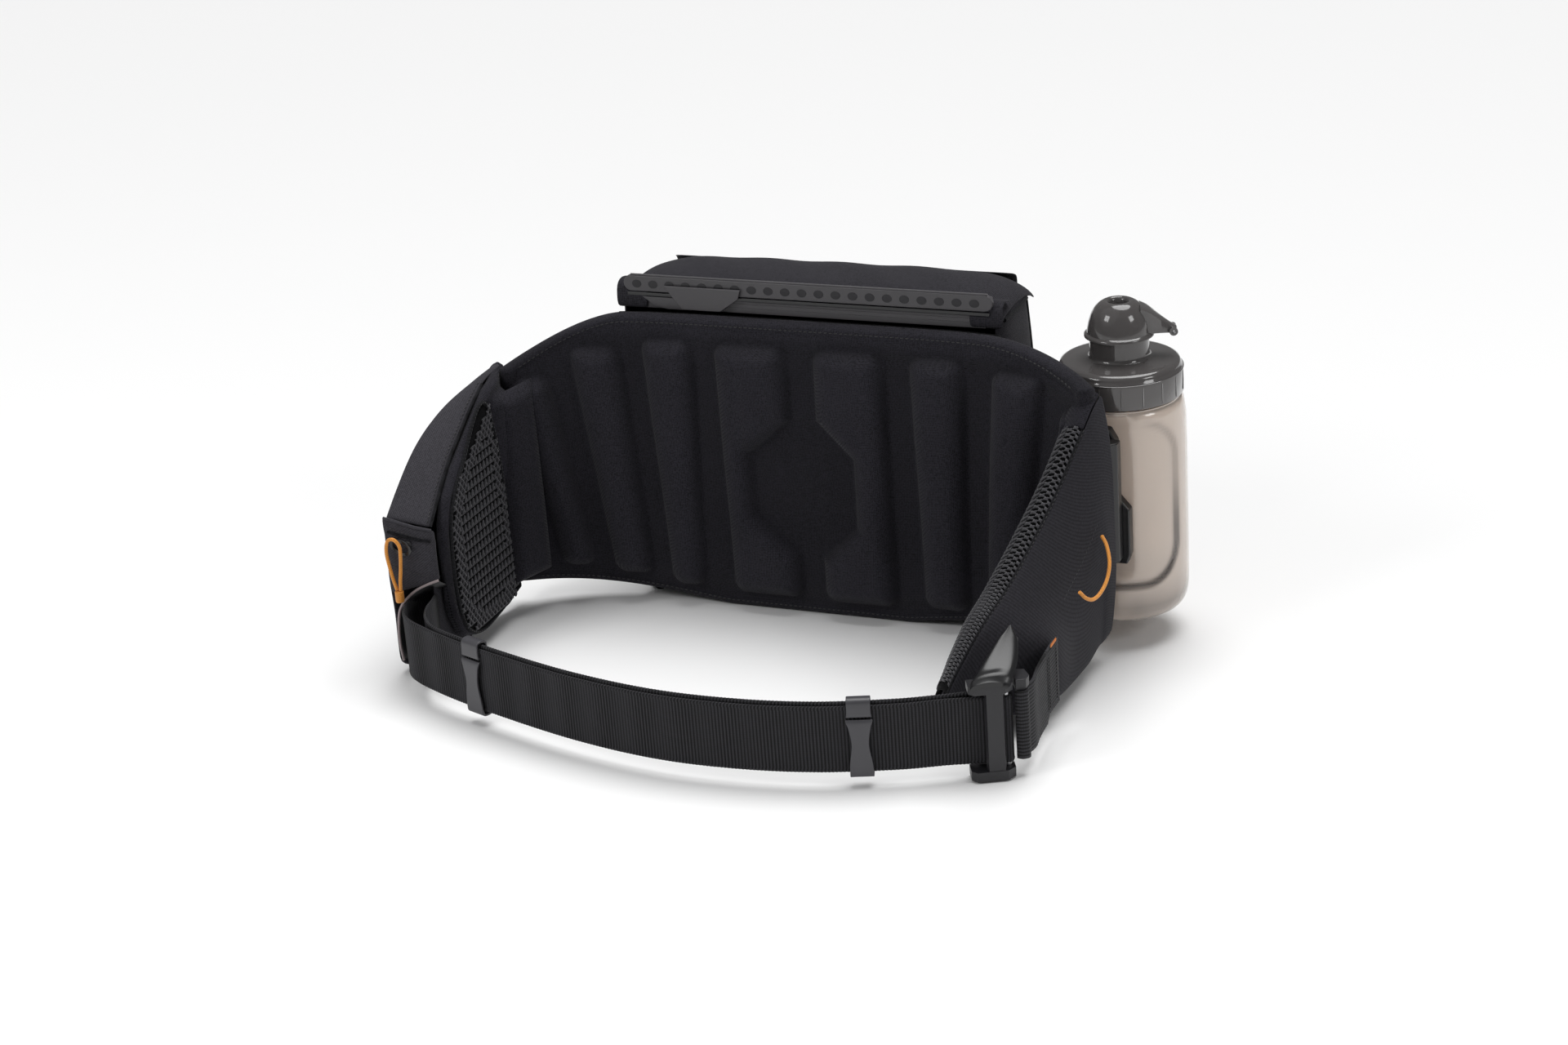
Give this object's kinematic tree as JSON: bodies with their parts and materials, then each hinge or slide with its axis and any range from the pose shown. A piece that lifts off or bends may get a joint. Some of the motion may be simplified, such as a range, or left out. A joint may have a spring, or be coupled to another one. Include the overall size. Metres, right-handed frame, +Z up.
{
  "type": "waist pack",
  "caption": "Hip pack with padded back panel, hinged hip wings, sliding top closure, webbing belt with buckle, and a bottle on a side base.",
  "frame": {"origin": "on the underside of the main compartment's base, at its centre line, 28 mm behind the back panel's rear face", "axes": "+Z up; +X to the right as seen from the wearer's side; +Y away from the wearer, towards the compartment; the belt is towards -Y"},
  "size_m": [0.4431, 0.3223, 0.2136],
  "materials": {
    "black_fabric": "matte woven",
    "grey_fabric": "matte stretch weave",
    "spacer_mesh": "open knit",
    "lining": "smooth lining",
    "webbing": "ribbed webbing",
    "soft_plastic": "satin flexible",
    "hard_plastic": "satin moulded",
    "steel": "brushed",
    "orange_cord": "braided",
    "clear_plastic": "translucent",
    "smoke_plastic": "smoke translucent",
    "rubber": "matte"
  },
  "bodies": {
    "pack": {"back_panel_foam": "black_fabric", "back_panel_stiffener": "hard_plastic", "main_back_wall": "lining", "main_base": "black_fabric", "main_outer_wall": "black_fabric", "main_side_left": "black_fabric", "main_side_right": "black_fabric", "outer_pocket_panel": "black_fabric", "zip_tape_lower": "webbing", "zip_tape_upper": "webbing", "closure_strip": "soft_plastic", "closure_rail_fixed": "soft_plastic", "closure_rail_rib": "soft_plastic", "closure_tab_rear": "soft_plastic", "bottle_base": "hard_plastic"},
    "outer_zip": {"outer_zip_slider": "steel", "outer_zip_pull": "orange_cord"},
    "hood": {"hood_panel": "black_fabric"},
    "sliding_rail": {"closure_rail_sliding": "soft_plastic", "closure_tab_front": "soft_plastic"},
    "left_wing": {"left_wing_pad": "black_fabric", "left_wing_mesh": "spacer_mesh", "left_pocket_wall": "grey_fabric", "left_pocket_top": "grey_fabric", "left_pocket_end": "grey_fabric", "left_zip_flap": "grey_fabric", "left_pocket_base": "grey_fabric", "left_sleeve_binding": "soft_plastic", "belt_anchor_outer": "webbing", "belt_anchor_inner": "webbing"},
    "left_zip": {"left_zip_slider": "hard_plastic", "left_zip_ring": "hard_plastic", "left_cord_crimp": "hard_plastic", "left_pull_cord": "orange_cord"},
    "right_wing": {"right_wing_pad": "black_fabric", "right_wing_mesh": "spacer_mesh", "right_pocket_shell": "black_fabric", "right_finger_loop": "orange_cord", "strap_stub": "webbing", "stub_hook": "hard_plastic"},
    "belt": {"belt_front_layer": "webbing", "belt_back_layer": "webbing", "buckle_frame": "hard_plastic", "buckle_fold_pin": "steel"},
    "lever": {"buckle_lever": "hard_plastic"},
    "left_keeper": {"keeper_left": "hard_plastic"},
    "right_keeper": {"keeper_right": "hard_plastic"},
    "bottle": {"bottle_body": "clear_plastic", "bottle_connector": "hard_plastic"},
    "cap": {"bottle_cap": "smoke_plastic", "cap_gasket": "rubber", "spout_seat": "smoke_plastic", "lid_hinge_pin": "steel"},
    "spout": {"spout_valve": "rubber"},
    "lid": {"flip_lid": "smoke_plastic"}
  },
  "joints": [
    {"name": "outer_zip_slide", "type": "slide", "parent": "pack", "child": "outer_zip", "axis": [1, 0, 0], "range_m": [0, 0.16]},
    {"name": "hood_fold", "type": "hinge", "parent": "pack", "child": "hood", "pos_m": [0, 0.037, 0.1992], "axis": [-1, 0, 0], "range_deg": [0, 100]},
    {"name": "closure_slide", "type": "slide", "parent": "hood", "child": "sliding_rail", "axis": [1, 0, 0], "range_m": [0, 0.012]},
    {"name": "left_wing_flex", "type": "hinge", "parent": "pack", "child": "left_wing", "pos_m": [-0.186, -0.074, 0.08], "axis": [0, 0, 1], "range_deg": [-45, 0], "stiffness_Nm_per_rad": 0.4},
    {"name": "left_zip_slide", "type": "slide", "parent": "left_wing", "child": "left_zip", "axis": [1, 0, 0], "range_m": [0, 0.008]},
    {"name": "belt_swing", "type": "hinge", "parent": "left_wing", "child": "belt", "pos_m": [-0.207, -0.1755, 0.03], "axis": [0, 0, 1], "range_deg": [-60, 0]},
    {"name": "lever_lift", "type": "hinge", "parent": "belt", "child": "lever", "pos_m": [0.1759, -0.22082, 0.0595], "axis": [0.8949, 0.4462, 0], "range_deg": [0, 30], "stiffness_Nm_per_rad": 0.05},
    {"name": "left_keeper_slide", "type": "slide", "parent": "belt", "child": "left_keeper", "axis": [0.9324, -0.3613, 0], "range_m": [-0.008, 0.008]},
    {"name": "right_keeper_slide", "type": "slide", "parent": "belt", "child": "right_keeper", "axis": [0.9487, 0.3162, 0], "range_m": [-0.008, 0.008]},
    {"name": "right_wing_flex", "type": "hinge", "parent": "pack", "child": "right_wing", "pos_m": [0.186, -0.074, 0.08], "axis": [0, 0, 1], "range_deg": [0, 35], "stiffness_Nm_per_rad": 0.4},
    {"name": "bottle_pull", "type": "slide", "parent": "pack", "child": "bottle", "axis": [0, 1, 0], "range_m": [0, 0.045]},
    {"name": "cap_turn", "type": "hinge", "parent": "bottle", "child": "cap", "pos_m": [0.188, -0.01, 0.16], "axis": [0, 0, 1], "range_deg": [0, 270]},
    {"name": "spout_pull", "type": "slide", "parent": "cap", "child": "spout", "axis": [0, 0, 1], "range_m": [0, 0.005]},
    {"name": "lid_flip", "type": "hinge", "parent": "cap", "child": "lid", "pos_m": [0.21713, 0.0006, 0.1865], "axis": [-0.342, 0.9397, 0], "range_deg": [0, 115]}
  ]
}
